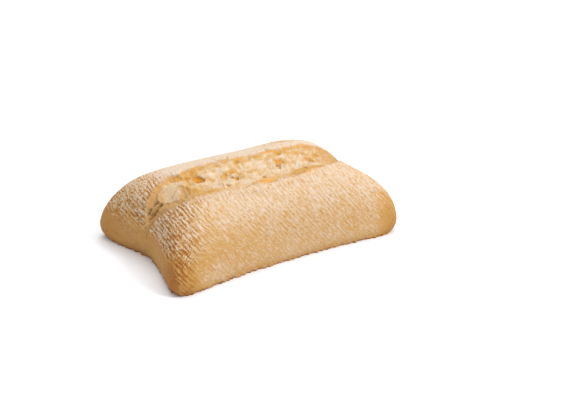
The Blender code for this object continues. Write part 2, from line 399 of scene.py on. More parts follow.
# The shade and brown of the gorges and of the large pores
DEEP_GORGE = (0.2, 0.7)
HOLLOW_DEPTH = 0.0013
GORGE_PORE_DEPTH = 0.0010
GORGE_PORE_SHARE = 0.65
GORGE_STRANDS = 0.45
FLAP_SHADE_SHARE = 1.05
UNDERCUT_TIP = (0.02, 0.3)
UNDERCUT_LINE_SHARE = 0.9
UNDERCUT_LINE_INSET = 0.0006
UNDERCUT_LINE_BREADTH = 0.0009
UNDERCUT_WALL_SHARE = 0.25
UNDERCUT_WALL = (0, 0.5)

# The material's patterns: which places they read, their spacing in metres and their detail. Flour grains are about
# 0.1 mm and the crust's finest folds 0.3 mm, too fine to show in the render, so both are drawn about 0.5 mm apart.
# The flour lies in locks 2.5 mm across that follow the wrinkles, and flour and browning are mottled every 4.5 mm
PATTERNS = {
    "streaks": ("streak", 0.00055, 2),
    "locks": ("streak", 0.0025, 2),
    "grain": ("object", 0.0005, 2),
    "mottle": ("object", 0.0045, 3),
}
PATTERN_ROUGHNESS = 0.6
PATTERN_MIDDLE = 0.5
# The streaks are stronger where the crust is wrinkled: their strength there, and elsewhere
WRINKLED_STREAKS = 4.6
PLAIN_STREAKS = 0.8

# What the material adds up: a first number, and the weights of what adds to it
SUMS = {
    "browning": (0.05, {"bake": 1.0, "ridge": -0.85, "mottle": 0.5, "lines": -0.50}),
    "dusting": (0.02, {"flour": 1.0, "ridge": 0.84, "lines": 0.9, "locks": 0.3, "grain": 1.1, "mottle": 0.35}),
    # The crumb's toast, with painted shade in its cells and in the creases between its facets
    "toasting_and_shade": (0.30, {"toast_and_shade": 1.0, "pit_shade": 0.5, "locks": 0.6, "mottle": 1.2, "streaks": 0.8, "grain": 0.5}),
    "wall_and_shade": (0.0, {"gorge": 1.0, "mottle": 0.6, "grain": 0.5}),
    "veiling": (0.0, {"veil": 1.0, "mottle": 0.5, "grain": 0.8}),
    "height": (0.5, {"lines": 0.5, "grain": 0.5}),
}

# Its colours. Each layer covers the ones before it, as its value goes from the first number to the second
CRUST_COLOUR = "BB8E4B"
CRUST_LAYERS = (
    ("browning", 0.0, 1.0, "935614"),
    ("dusting", 0.1, 0.9, "CBB8A4"),
    ("rim", 0.15, 0.8, "AE6A26"),
    ("lip", 0.2, 1.0, "D09643"),
)
CRUMB_COLOUR = "CBB8A0"
CRUMB_LAYERS = (
    ("toasting_and_shade", 0.0, 1.0, "BB8E49"),
    ("toasting_and_shade", 0.9, 1.8, "B67F33"),
    # The gorges' golden-brown walls with the painted shade under the torn sheet, then darker painted shade in the
    # gorges' pores and under the near lip
    ("wall_and_shade", 0.0, 1.1, "B68D57"),
    ("wall_and_shade", 1.1, 2.1, "775432"),
    ("veiling", 0.1, 1.0, "BCA27D"),
    ("skin", 0.1, 0.9, "B68B4C"),
    ("rim", 0.15, 0.9, "B57334"),
    # The pores: golden inside and dark brown in their depths, partly the skin inside them and partly painted shade
    ("hollow", 0.1, 0.9, "C1872B"),
    ("hollow", 1.45, 2.8, "734A18"),
    ("lip", 0.2, 1.0, "D09643"),
)
BREAD_ROUGHNESS = 0.85
BREAD_IOR = 1.45
BUMP_STRENGTH = 0.8
BUMP_DISTANCE = 0.0003

# The random patterns' octaves: by what they fade, and by what their spacing shrinks
ROUGHENING = 0.8
DOUBLING = 2

ON_FACE = 0.001  # how close to a face of the box counts as on it
FAR_OFF = 9  # the place across the split of the points that lie nowhere near it
FITTING_ROUNDS = 4  # of finding the place across the box that lies at a given Y

# The camera, at the photograph's angle and framing. Pixels are those of a 570 x 420 image
CAMERA_AZIMUTH = -32.896
CAMERA_ELEVATION = 25.707
CAMERA_DISTANCE = 0.855
FOCAL_PIXELS = 1440
IMAGE_WIDTH = 570
IMAGE_HEIGHT = 420
AIM = Vector((0, 0, 0.019))
AIM_PIXEL = (250.22, 204.55)
SENSOR_WIDTH = 36
NEAREST_SEEN = 0.05

# Softboxes: name, azimuth (0 on the near side, 90 on the right), elevation, distance, size and power
LIGHTS = (
    ("key", 38, 45, 2.4, 0.8, 32.4),
    ("top", 0, 89, 2.4, 2.0, 26.4),
    ("back", 150, 60, 2.4, 1.6, 14.4),
)
SKY_COLOUR = "FFFFFF"
SKY_STRENGTH = 0.6

FLOOR_RADIUS = 6
FLOOR_SEGMENTS = 64
FLOOR_COLOUR = "F0F2F6"
FLOOR_ROUGHNESS = 0.9


def linear_colour(hex_colour):
    """The sRGB hex colour as linear red, green, blue and alpha."""
    shares = [int(hex_colour[i : i + 2], 16) / 255 for i in (0, 2, 4)]
    return [s / 12.92 if s <= 0.04045 else ((s + 0.055) / 1.055) ** 2.4 for s in shares] + [1]


def smooth_share(value, low, high):
    """Goes smoothly from 0 at the low value to 1 at the high one."""
    share = np.clip((value - low) / (high - low), 0, 1)
    return share * share * (3 - 2 * share)


def bell(distance, breadth):
    """1 in the middle, and fades on both sides."""
    return np.exp(-((distance / breadth) ** 2))


def spot(x, y, place, size):
    """A soft round spot, 1 in its middle."""
    return bell(np.hypot((x - place[0]) / size[0], (y - place[1]) / size[1]), 1)


def unevenness(points, spacing, octaves=1):
    """A smooth random value of about -1 to 1 at each point, the same on each run."""
    return np.array([noise.fractal(Vector(point), ROUGHENING, DOUBLING, octaves) for point in points / spacing])


def patchiness(points, middle, strength, spacing, most=1):
    """A random share that strays from its middle, from 0 to the most."""
    return np.clip(middle + strength * unevenness(points, spacing), 0, most)


def weighed(weights, parts):
    """The sum of the parts, each times the weight of its name."""
    return sum(weights[name] * part for name, part in parts.items())


def gridded_box():
    """A 2 x 2 x 2 box whose top, sides and ends are divided into cells, open at the bottom."""
    box = bmesh.new()
    bmesh.ops.create_cube(box, size=2)
    floor = [face for face in box.faces if face.normal.z < -0.5]
    bmesh.ops.delete(box, geom=floor, context="FACES_ONLY")
    for axis, cells in enumerate((CELLS_ALONG, CELLS_ACROSS, CELLS_UP)):
        along_axis = [
            edge for edge in box.edges
            if abs(edge.verts[0].co[axis] - edge.verts[1].co[axis]) > 1
        ]
        bmesh.ops.subdivide_edges(box, edges=along_axis, cuts=cells - 1, use_grid_fill=True)
    return box


def roundness(along, across, up):
    """How far out each point of the box lies, where 1 is on the rounded form."""
    plan = (np.abs(along) ** PLAN_POWER + np.abs(across) ** PLAN_POWER) ** (1 / PLAN_POWER)
    return (plan**PROFILE_POWER + np.abs(up) ** PROFILE_POWER) ** (1 / PROFILE_POWER)


def tucked(up):
    """The height in the box, less deep below its middle, so that the foot turns in but little."""
    return np.where(up < 0, up * FOOT_TUCK, up)


def body_form(box):
    """Moves points of the 2 x 2 x 2 box, one a row, onto the roll as it is without its split.

    Also gives how near each is to a drawn-out bottom corner.
    """
    along, across, up = box.T
    out = roundness(along, across, tucked(up))
    u, v, w = along / out, across / out, tucked(up) / out
    rim = FOOT_TUCK / roundness(along, across, FOOT_TUCK)
    above = WIDEST_HEIGHT + (HEIGHT - WIDEST_HEIGHT) * w
    below = WIDEST_HEIGHT * (1 + w / rim)
    z = np.where(w >= 0, above, below) * (1 - HEIGHT_DROP * u)

    end_share = np.where(u > 0, RIGHT_CORNER_SHARE, 1)
    cornerwise = np.abs(u * v) / 0.5 ** (2 / PLAN_POWER)
    low_corner = end_share * cornerwise**CORNER_SHARPNESS * bell(z, CORNER_FADE_HEIGHT)
    slant = np.sqrt(v**2 + END_HOLLOW_ROUNDING**2) - END_HOLLOW_ROUNDING
    hollow = 1 - slant / (math.hypot(1, END_HOLLOW_ROUNDING) - END_HOLLOW_ROUNDING)
    outward = CORNER_REACH_ALONG * low_corner - end_share * END_HOLLOW * hollow * u**END_HOLLOW_FADE
    x = LENGTH / 2 * u * np.where(u > 0, 1 + RIGHT_STRETCH, 1) + np.sign(u) * outward
    y = WIDTH / 2 * v + np.sign(v) * CORNER_REACH_ACROSS * low_corner
    return np.stack([x, y, z], 1), low_corner


def split_course(box):
    """The split's run at each point of the box, with its middle's y, its half width and how open it is there."""
    along, _, up = box.T
    on_end = np.abs(along) > 1 - ON_FACE
    run = np.abs(along) + np.where(on_end, 1 - up, 0)
    left = along < 0
    length = np.where(left, SPLIT_RUN_LEFT, SPLIT_RUN_RIGHT)
    open_share = np.clip(1 - (run / length) ** SPLIT_FULLNESS, 0, 1) ** SPLIT_POINTEDNESS
    half_width = np.maximum(SPLIT_HALF_WIDTH * open_share, TIP_HALF_WIDTH)
    straight = SPLIT_RETURN_LEFT * np.minimum(run / length, 1)
    bend = SPLIT_RETURN_RIGHT * np.minimum(run, 1) ** 2
    middle = SPLIT_OFFSET + np.where(left, straight, bend)
    return run, middle, half_width, open_share


def box_across(along, up, y):
    """The place across the box that body_form takes to y."""
    across = y / (WIDTH / 2)
    for _ in range(FITTING_ROUNDS):
        across = y / (WIDTH / 2) * roundness(along, across, tucked(up))
    return across


def follow_split(box):
    """Moves the box's points so that rows of them run along both lips of the split, closest at its ends."""
    along, place, up = box.T
    along = along * (1 + END_CROWDING * (1 - np.abs(along)))
    up = up + FOOT_SPREADING * (1 - up**2) / 2
    box = np.stack([along, place, up], 1)
    _, middle, half_width, _ = split_course(box)
    half_width = np.maximum(half_width, NARROWEST_FOLLOWED)
    near_lip = box_across(along, up, middle - half_width)
    far_lip = box_across(along, up, middle + half_width)
    lip = np.where(place < 0, near_lip, far_lip)
    within = near_lip + (far_lip - near_lip) * (place / SPLIT_CELLS_SHARE + 1) / 2
    beyond = lip + (np.sign(place) - lip) * (np.abs(place) - SPLIT_CELLS_SHARE) / (1 - SPLIT_CELLS_SHARE)
    box[:, 1] = np.where(np.abs(place) < SPLIT_CELLS_SHARE, within, beyond)
    return box


def split_place(box, points):
    """Where each point is in the split.

    Gives its place across it (-1 and 1 at the lips), how far beyond the nearer lip it is in metres, the split's
    depth there, how much it is a gorge, and how open it is.
    """
    run, middle, half_width, open_share = split_course(box)
    gorge = bell(np.maximum(GORGE_RUN - run, 0), GORGE_SPREAD)
    wander = LIP_WANDER * (1 - gorge) * unevenness(points, LIP_WANDER_SPACING, LIP_OCTAVES)
    for shifted, breadth, shift in FAR_LIP_SHIFTS:
        wander += shift * bell(points[:, 0] - shifted, breadth) * (points[:, 1] > middle)
    on_side = np.abs(box[:, 1]) > 1 - ON_FACE
    across = np.where(on_side, FAR_OFF, (points[:, 1] + wander - middle) / half_width)
    beyond = (np.abs(across) - 1) * half_width
    deeper = np.where(box[:, 0] < 0, GORGE_DEPTH_LEFT, GORGE_DEPTH_RIGHT) * gorge
    return across, beyond, (SPLIT_DEPTH + deeper) * np.sqrt(open_share), gorge, open_share


def bed_depth(across, depth, gorge, open_share):
    """How far the torn bed lies under the crust: a shallow trough that turns into a V in a gorge."""
    share = (np.clip(across, -1, 1) + 1) / 2
    leaned = 2 * share ** (1 - GORGE_LEAN * gorge * np.sqrt(open_share)) - 1
    trough = (1 - leaned**2) ** SPLIT_WALL
    crease = 1 - np.abs(leaned) ** GORGE_BLUNTNESS
    return depth * (trough + (crease - trough) * gorge)


def pore_depth(points, sideways):
    """The depth of the larger pores at each point of the bed."""
    ragged = PORE_RAGGEDNESS * unevenness(points, PORE_RAGGED_SPACING, octaves=2)
    deepest = np.zeros(len(points))
    for place, place_across, half_length, half_breadth, depth in PORES:
        along = (points[:, 0] - place) / half_length
        across = (sideways - place_across) / half_breadth
        inside = np.clip(1 - (along**2 + across**2) * (1 + ragged), 0, 1)
        deepest = np.maximum(deepest, depth * np.sqrt(inside))
    return deepest


def flap_edge(sideways):
    """The place along X of the torn sheet's edge."""
    return FLAP_EDGE - FLAP_BOW * (sideways - FLAP_MIDDLE) ** 2


def flap_height(points, sideways):
    """The torn sheet's rise over the hollow that it leaves open beside it, its rim, and the shade before it."""
    across = (sideways - FLAP_MIDDLE) / FLAP_HALF_BREADTH
    window = smooth_share(1 - np.abs(across), *FLAP_SIDES)
    ahead = points[:, 0] - flap_edge(sideways)
    on_sheet = smooth_share(ahead, *FLAP_STEP)
    rise = FLAP_RISE * on_sheet * np.exp(-np.maximum(ahead, 0) / FLAP_RISE_LENGTH)
    hollow = FLAP_HOLLOW * (1 - on_sheet) * np.exp(np.minimum(ahead, 0) / FLAP_HOLLOW_LENGTH)
    shade = smooth_share(ahead, *FLAP_SHADE_START) * (1 - smooth_share(ahead, *FLAP_SHADE_END))
    rim = bell(ahead - FLAP_RIM, FLAP_RIM_BREADTH)
    return window * (rise - hollow), window * rim, window * shade


def veil_share(points, sideways):
    """How much each point is on the thin pale film of crumb that the gorge at the left end laid bare."""
    place, place_across, half_length, half_breadth = VEIL
    along = (points[:, 0] - place) / half_length
    across = (sideways - place_across - VEIL_SLANT * (points[:, 0] - place)) / half_breadth
    ragged = np.hypot(along, across) + VEIL_RAGGEDNESS * unevenness(points, VEIL_SPACING)
    # Close under the torn sheet the film gives way to painted shade
    shaded = smooth_share(points[:, 0] - flap_edge(sideways), *VEIL_SHADE_SPAN)
    return (1 - VEIL_SHADE_SHARE * shaded) * (1 - smooth_share(ragged, *VEIL_EDGE))


def flake_height(points, sideways, flakes):
    """The flakes' height, with a thin crest."""
    highest = np.zeros(len(points))
    for start_x, start_y, end_x, end_y, half_breadth, height in flakes:
        length = math.hypot(end_x - start_x, end_y - start_y)
        ux, uy = (end_x - start_x) / length, (end_y - start_y) / length
        dx, dy = points[:, 0] - start_x, sideways - start_y
        along = (dx * ux + dy * uy) / length
        aside = (dy * ux - dx * uy) / half_breadth
        crest = np.clip(1 - np.abs(aside), 0, 1) ** FLAKE_BLUNTNESS
        ends = smooth_share(0.5 - np.abs(along - 0.5), *FLAKE_ENDS)
        highest = np.maximum(highest, height * ends * crest)
    return highest


def crag_height(points, gorge):
    """The height of the crumb's large crags. A gorge has none."""
    return CRAG_HEIGHT * (1 - gorge) * unevenness(points, CRAG_SPACING, octaves=2)


def relief(points, place, rough):
    """How far each point of the crust moves out along its normal. Rough is the height of the crumb's torn surface."""
    across, beyond, depth, gorge, open_share = place
    above_foot = np.clip(points[:, 2] / WIDEST_HEIGHT, 0, 1)
    swell = SWELL * above_foot * unevenness(points, SWELL_SPACING)
    crumb = np.clip((1 - np.abs(across)) / CRAG_FADE, 0, 1)
    lip = LIP_RISE * open_share * bell(beyond - LIP_BREADTH, LIP_BREADTH)
    lip *= np.where(across < 0, 1 - gorge, 1)
    bed = bed_depth(across, depth, gorge, open_share)
    return swell + lip - bed + crumb * rough


def torn_share(at):
    """How much each point is torn crumb and not crust."""
    thin = bell(at.points[:, 0] - THIN_CRUST, THIN_CRUST_LENGTH) * (at.across < 0)
    thin *= 1 + THIN_CRUST_RAGGEDNESS * unevenness(at.points, THIN_CRUST_SPACING)
    start, end = CRUST_EDGE
    torn = 1 - smooth_share(at.beyond, start, end + THIN_CRUST_REACH * np.clip(thin, 0, 1))
    return torn * smooth_share(at.open_share, *SPLIT_TIP)


def flour_cover(at):
    """The share of the crust that flour hides: most on top and on the far bank, least on the ends and corners."""
    x, y, z = at.points.T
    far = smooth_share(y, *FAR_SIDE)
    top = smooth_share(at.outward[:, 2], *TOP_FACING)
    lobes = 1 - smooth_share(x, *LOBES_END)
    cornered = np.minimum(1, CORNER_BARENESS * at.corner**CORNER_BARENESS_POWER)
    cover = weighed(FLOUR_WEIGHTS, {
        "all": 1,
        "top": top,
        "far_bank": far * smooth_share(at.outward[:, 2], *BANK_FACING),
        "lobes": lobes,
        "lobes_top": lobes * top,
        "lobes_far": lobes * far,
        "low_lobe": spot(x, z, *LOW_LOBE) * (y < 0),
    })
    cover *= 1 - (END_FLOUR_LOSS + (FAR_END_FLOUR_LOSS - END_FLOUR_LOSS) * far) * at.end
    cover *= (1 - cornered) * (1 - FOOT_FLOUR_LOSS * at.foot)
    ragged = 1 + BARE_RAGGEDNESS * unevenness(at.points, BARE_SPACING)
    return cover + weighed(FLOUR_EXTRAS, {
        "far_end": at.end * far,
        "near_lobe": spot(x, z, *NEAR_LOBE) * (y < 0),
        "corner": cornered,
        "patches": at.patches,
        "bare": spot(x, at.sideways, BARE_PLACE, BARE_SIZE) * ragged,
    })


def baked_brown(at, strength):
    """How brown each point of the bare crust is baked: most on the corners, then on the ends."""
    near = at.points[:, 1] < 0
    return weighed(BAKE_WEIGHTS, {
        "near_corner": at.corner * near,
        "far_corner": at.corner * ~near,
        "end": at.end,
        "foot": at.foot,
        "crinkle": strength,
        "patches": at.patches,
    })


def toasted_and_shaded(at, crumb):
    """How golden each point of the crumb is baked, from 0 to about 1, with painted shade in its creases. Torn edges and
    strands are paler.
    """
    x = at.points[:, 0]
    left = 1 - smooth_share(x, *TOAST_LEFT_EDGE)
    far_edge = smooth_share(at.across, *TOAST_FAR_EDGE)
    toast_and_shade = weighed(TOAST_AND_SHADE_WEIGHTS, {
        "far_edge": far_edge,
        "left_far_edge": far_edge * left,
        "near_left": smooth_share(-at.sideways, *TOAST_NEAR) * left,
        "left_end": 1 - smooth_share(x, *TOAST_LEFT_END),
        "right_end": smooth_share(x, *TOAST_RIGHT_END),
        "veil": at.veil,
        "flap_rim": at.flap_rim,
        "torn_edge": at.edges / TORN_EDGE_FULL_HEIGHT,
        "strands": crumb.strands,
        "facet": crumb.faceted * crumb.tone,
        "crease": crumb.faceted * crumb.crease,
        "layers": at.torn * crumb.layers * smooth_share(at.across, *LAYERED_FAR_EDGE),
    })
    for *patch, strength in GOLDEN_PATCHES:
        toast_and_shade += strength * spot(x / MM, at.sideways / MM, patch[:2], patch[2:])
    return toast_and_shade


def gorge_shade(at, crumb):
    """The gorges' golden-brown walls, and painted shade under the near lip's undercut, under the torn sheet and in the
    pores in the gorges.
    """
    undercut = smooth_share(at.open_share, *UNDERCUT_TIP) * at.gorge * at.torn * (at.across < 0)
    line = UNDERCUT_LINE_SHARE * bell(at.beyond + UNDERCUT_LINE_INSET, UNDERCUT_LINE_BREADTH)
    wall = UNDERCUT_WALL_SHARE * smooth_share(-at.across, *UNDERCUT_WALL)
    pored = np.clip(at.pores / GORGE_PORE_DEPTH, 0, 1) * smooth_share(at.gorge, *DEEP_GORGE)
    walls = np.maximum(at.gorge * (1 - GORGE_STRANDS * crumb.strands), FLAP_SHADE_SHARE * at.flap_shade)
    return walls * at.torn + undercut * (line + wall) + GORGE_PORE_SHARE * pored


def lip_colour(at):
    """Where the crust's torn edge is baked orange: along the far lip, and the near one towards the right."""
    far = at.across > 0
    started = smooth_share(at.points[:, 0], *NEAR_LIP_START)
    near_share = NEAR_LIP_LEFT_SHARE + (1 - NEAR_LIP_LEFT_SHARE) * started
    breadth = np.where(far, FAR_LIP_BREADTH, NEAR_LIP_BREADTH)
    edge = bell(at.beyond + LIP_COLOUR_INSET, breadth) * np.sqrt(at.open_share)
    return edge * patchiness(at.points, *LIP_COLOUR_PATCHES) * np.where(far, 1, near_share)


def wrinkle_places(points):
    """The points in a space where the wrinkles are as long as they are wide. Its X runs across them."""
    aside = points @ WRINKLE_NORMAL + WRINKLE_WARP * unevenness(points, WRINKLE_WARP_SPACING)
    return np.stack([aside, points[:, 1] / WRINKLE_STRETCH, points[:, 2] / WRINKLE_STRETCH], 1)


def wrinkle_ridges(places, tangled):
    """The ridges between the wrinkles, from -1 to 1: rows of them that waver, part and join, or a tangle of them."""
    knots = unevenness(places / (KNOT_WIDTH, KNOT_LENGTH, KNOT_LENGTH), WRINKLE_SPACING)
    places = places / (1, RIDGE_STRETCH, RIDGE_STRETCH)
    phase = 2 * math.pi * places[:, 0] / WRINKLE_PERIOD
    wavering = WRINKLE_WAVER * unevenness(places, WRINKLE_WAVER_SPACING)
    rows = ROW_EVENNESS * np.sin(phase + wavering) + unevenness(places, WRINKLE_SPACING)
    rows += (knots - rows) * tangled
    return np.tanh(WRINKLE_STEEPNESS * rows)


def tangled_share(points, sideways):
    """How much each point is on the far lobe, where the wrinkles are a tangle."""
    on_lobe = smooth_share(sideways, *TANGLE_ACROSS) * (1 - smooth_share(points[:, 0], *TANGLE_RIGHT_EDGE))
    return TANGLE * on_lobe


def wrinkle_strength(points, end):
    """How strong the wrinkles are: most on the lobes of the left half, and least low on the ends and sides."""
    x, z = points[:, 0], points[:, 2]
    raised = smooth_share(z, *WRINKLE_FOOT)
    left = 1 - smooth_share(x - WRINKLE_EDGE_LEAN * (z - WRINKLE_EDGE_HEIGHT), *WRINKLE_RIGHT_EDGE)
    strength = WRINKLE_CALM + (1 - WRINKLE_CALM) * left
    strength *= WRINKLE_FOOT_SHARE + (1 - WRINKLE_FOOT_SHARE) * raised
    return strength * (1 - WRINKLE_END_LOSS * end)


def drawn_places(points, sideways, stretch):
    """The points in a space where the crumb isn't drawn out across the split."""
    lean = STRAND_LEAN + STRAND_LEAN_GROWTH * points[:, 0]
    straight = points[:, 0] - lean * sideways + STRAND_WARP * unevenness(points, STRAND_WARP_SPACING)
    return np.stack([straight, sideways / stretch, points[:, 2] / stretch], 1)


def crumb_cells(drawn):
    """How deep each point lies in the gas cells that the tear opened. Each cell is opened by its own amount."""
    depth = np.zeros(len(drawn))
    for spacing, cell_depth, open_share in CRUMB_CELLS:
        for index, place in enumerate(drawn / spacing):
            warped = Vector(place) + CELL_WARP * noise.noise_vector(Vector(place))
            distances, middles = noise.voronoi(warped)
            within = min(1, (distances[1] - distances[0]) / CELL_WALL)
            closed = (noise.cell(middles[0]) + 1) / 2
            depth[index] += cell_depth * within * min(1, max(0, open_share - closed) / CELL_OPENING)
    return depth


def crumb_facets(drawn):
    """How high each point stands on its tilted facet, from -1 to 1, the facet's tone, and the creases around it."""
    tilt, tone, crease = np.zeros((3, len(drawn)))
    for index, place in enumerate(drawn / FACET_SPACING):
        warped = Vector(place) + CELL_WARP * noise.turbulence_vector(Vector(place), 2, False)
        distances, middles = noise.voronoi(warped)
        slope = noise.cell_vector(middles[0]) - Vector((0.5, 0.5, 0.5))
        tilt[index] = 2 * (warped - middles[0]).dot(slope)
        tone[index] = noise.cell(middles[0])
        crease[index] = 1 - min(1, (distances[1] - distances[0]) / FACET_CREASE)
    return tilt, tone, crease


def opened_share(points, sideways):
    """How wide the tear opened the crumb: wholly in the middle of each cluster."""
    opened = np.full(len(points), CRUMB_CALM)
    for cluster in CLUSTERS:
        opened = np.maximum(opened, spot(points[:, 0], sideways, cluster[:2], cluster[2:]))
    return opened


def torn_crumb(at, streak):
    """The torn crumb's cells, facets, strands and skin at each point, and how far they move it out.

    Streak is each point's place among the strands that cross the split.
    """
    inside = at.torn > 0
    drawn = drawn_places(at.points, at.sideways, CRUMB_STRETCH)
    opened = opened_share(at.points, at.sideways)
    skin = smooth_share(-at.across, *SKIN_ACROSS) * bell(at.points[:, 0] - SKIN_PLACE, SKIN_LENGTH)

    cells, tilt, tone, crease = np.zeros((4, len(at.points)))
    cells[inside] = crumb_cells(drawn[inside])
    cells *= at.torn * (1 - at.veil) * opened
    cells *= (1 - CELLS_LOST_IN_GORGE * at.gorge) * (1 - CELLS_LOST_IN_SKIN * skin)

    tilt[inside], tone[inside], crease[inside] = crumb_facets(drawn[inside])
    faceted = at.torn * (1 - at.veil) * (1 - skin) * smooth_share(-at.beyond, *FACET_EDGE)
    faceted *= (1 - np.clip(at.pores / FACETLESS_PORE_DEPTH, 0, 1)) * (1 - FACETS_LOST_IN_GORGE * at.gorge)
    faceted *= FACET_CALM + (1 - FACET_CALM) * opened

    along_gorge = np.stack([at.points[:, 0] / STRAND_STRETCH, at.sideways, at.points[:, 2]], 1)
    layers = unevenness(along_gorge, STRAND_SPACING, octaves=2)
    crossing = unevenness(streak, STRAND_SPACING, octaves=2)
    strands = crossing + (layers - crossing) * smooth_share(at.gorge, *LAYERED_GORGE)
    strands *= at.torn * (1 - STRANDS_LOST_IN_VEIL * at.veil)

    facets = faceted * (FACET_TILT * tilt - CREASE_DEPTH * crease)
    out = facets + STRAND_HEIGHT * strands - cells
    return SimpleNamespace(
        out=out, cells=cells, faceted=faceted, tone=tone, crease=crease, layers=layers, strands=strands, skin=skin
    )


def crust_details(at):
    """How far the fuller far bank, the crisp lips and the skirt stand out."""
    bank = BANK_SWELL * smooth_share(at.across, *BANK_EDGE)
    bank += BANK_BULGE * spot(at.points[:, 0], at.sideways, BANK_PLACE, BANK_SIZE)
    crisp = np.maximum(unevenness(at.points, LIP_CRISP_SPACING, octaves=2), 0)
    crisp *= bell(at.beyond, LIP_CRISP_BREADTH) * at.open_share
    skirt = bell(at.points[:, 2], SKIRT_HEIGHT) * (patchiness(at.points, *SKIRT_TEETH) - SKIRT_SET_BACK)
    return bank * np.maximum(at.outward[:, 2], 0) + LIP_CRISP_HEIGHT * crisp + SKIRT_REACH * skirt


def close_underside(roll):
    """Closes the roll's open bottom with rings of cells and one face in the middle."""
    cells = len(roll.faces)
    rim = [edge for edge in roll.edges if edge.is_boundary]
    for vertex in {vertex for edge in rim for vertex in edge.verts}:
        vertex.co.z = 0
    before = 1
    for share in UNDERSIDE_RINGS:
        grown = bmesh.ops.extrude_edge_only(roll, edges=rim)["geom"]
        ring = [item for item in grown if isinstance(item, bmesh.types.BMVert)]
        rim = [item for item in grown if isinstance(item, bmesh.types.BMEdge) and item.is_boundary]
        bmesh.ops.scale(roll, verts=ring, vec=(share / before, share / before, 1))
        before = share
    bmesh.ops.contextual_create(roll, geom=rim)

    # The rings' faces come in another order on each run, unless they are sorted by their place
    roll.faces.index_update()
    places = [face.calc_center_median().dot(FACE_ORDER) for face in roll.faces]
    roll.faces.sort(key=lambda face: face.index if face.index < cells else cells + 1 + places[face.index])


def centre(roll):
    """Moves the roll so that the middle of its box is over the origin."""
    places = np.array([vertex.co for vertex in roll.verts])
    middle = (places.min(0) + places.max(0)) / 2
    bmesh.ops.translate(roll, verts=roll.verts, vec=(-middle[0], -middle[1], 0))


def draw_in_foot(roll, points, sideways):
    """Draws the foot of the left end in below the split."""
    inward, middle, half_breadth, height = NOTCH
    low = (1 - smooth_share(points[:, 2], 0, height)) * smooth_share(-points[:, 0], *NOTCH_END)
    for vertex, move in zip(roll.verts, inward * bell(sideways - middle, half_breadth) * low):
        vertex.co.x += move


def move_out(roll, moves):
    """Moves the roll's first points out along their normals."""
    roll.normal_update()
    for vertex, move in zip(roll.verts, moves):
        vertex.co += vertex.normal * move


def in_scene(name, data):
    """A new object in the scene, with this data."""
    piece = bpy.data.objects.new(name, data)
    bpy.context.scene.collection.objects.link(piece)
    return piece


def store(mesh, name, kind, values):
    """Keeps the values of the roll's first points in an attribute of the mesh. The underside's are 0."""
    filled = np.zeros((len(mesh.vertices), *values.shape[1:]), np.float32)
    filled[: len(values)] = values
    field = "vector" if kind == "FLOAT_VECTOR" else "value"
    mesh.attributes.new(name, kind, "POINT").data.foreach_set(field, filled.ravel())


def finished(roll):
    """The roll's mesh, closed below, with its faces pointing outwards."""
    close_underside(roll)
    centre(roll)
    bmesh.ops.recalc_face_normals(roll, faces=roll.faces)
    mesh = bpy.data.meshes.new("ciabatta_roll")
    roll.to_mesh(mesh)
    roll.free()
    mesh.shade_smooth()
    return mesh


